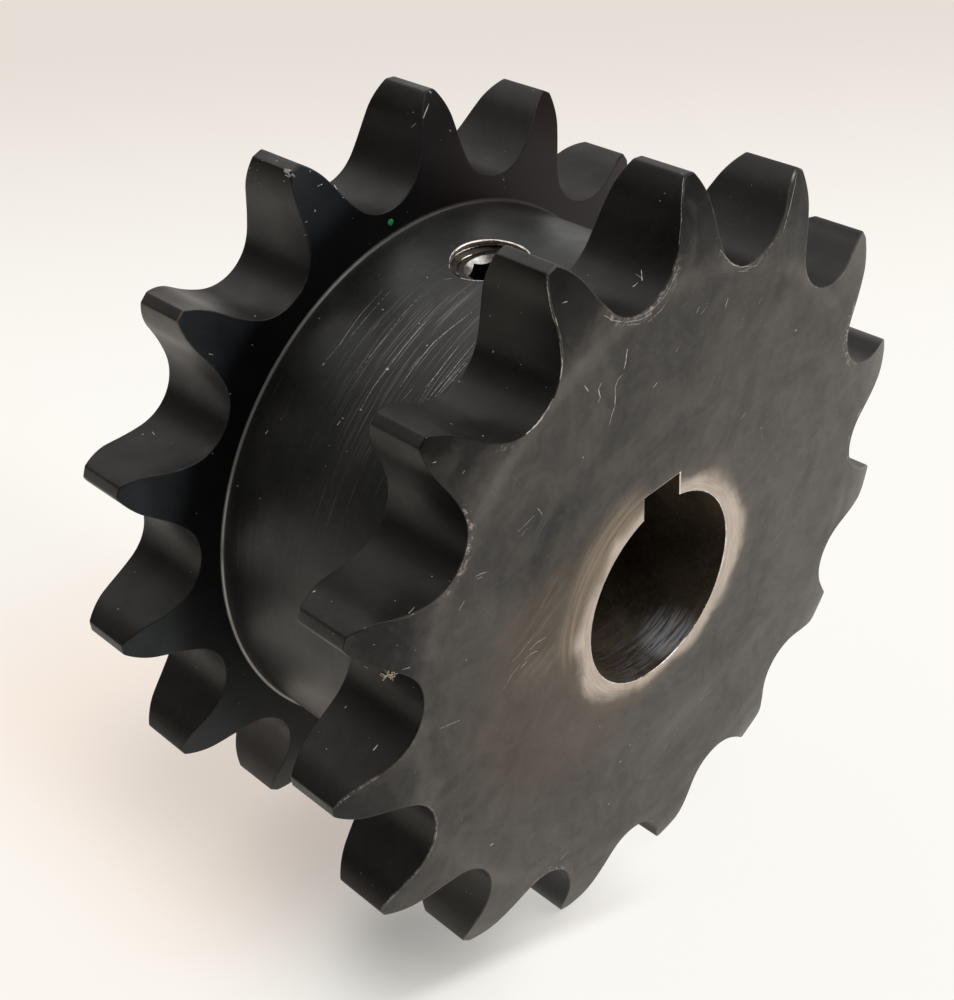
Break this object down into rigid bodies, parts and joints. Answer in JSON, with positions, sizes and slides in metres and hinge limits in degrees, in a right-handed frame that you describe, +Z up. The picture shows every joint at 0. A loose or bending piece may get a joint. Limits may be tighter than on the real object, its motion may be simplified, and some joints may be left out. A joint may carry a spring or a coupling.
{
  "type": "chain sprocket",
  "caption": "Double single chain sprocket: two toothed rims on one hub, for separate strands of roller chain, with a keyed bore and set screws.",
  "frame": {"origin": "middle of the bore, half way between the two end faces", "axes": "+Y along the bore, from the front face to the rear face; +Z up through the middle of a tooth of each rim, as the sprocket stands on two teeth of each rim; +X to the right seen from the front"},
  "size_m": [0.1006, 0.0498, 0.1001],
  "materials": {
    "black_oxide_steel": "machined steel under a matt black oxide, worn to bare metal round the bore",
    "set_screw_steel": "black oxide alloy steel with bright rubbed edges"
  },
  "bodies": {
    "root": {"sprocket_body": "black_oxide_steel", "keyway_set_screw": "set_screw_steel", "side_set_screw": "set_screw_steel"}
  },
  "joints": []
}
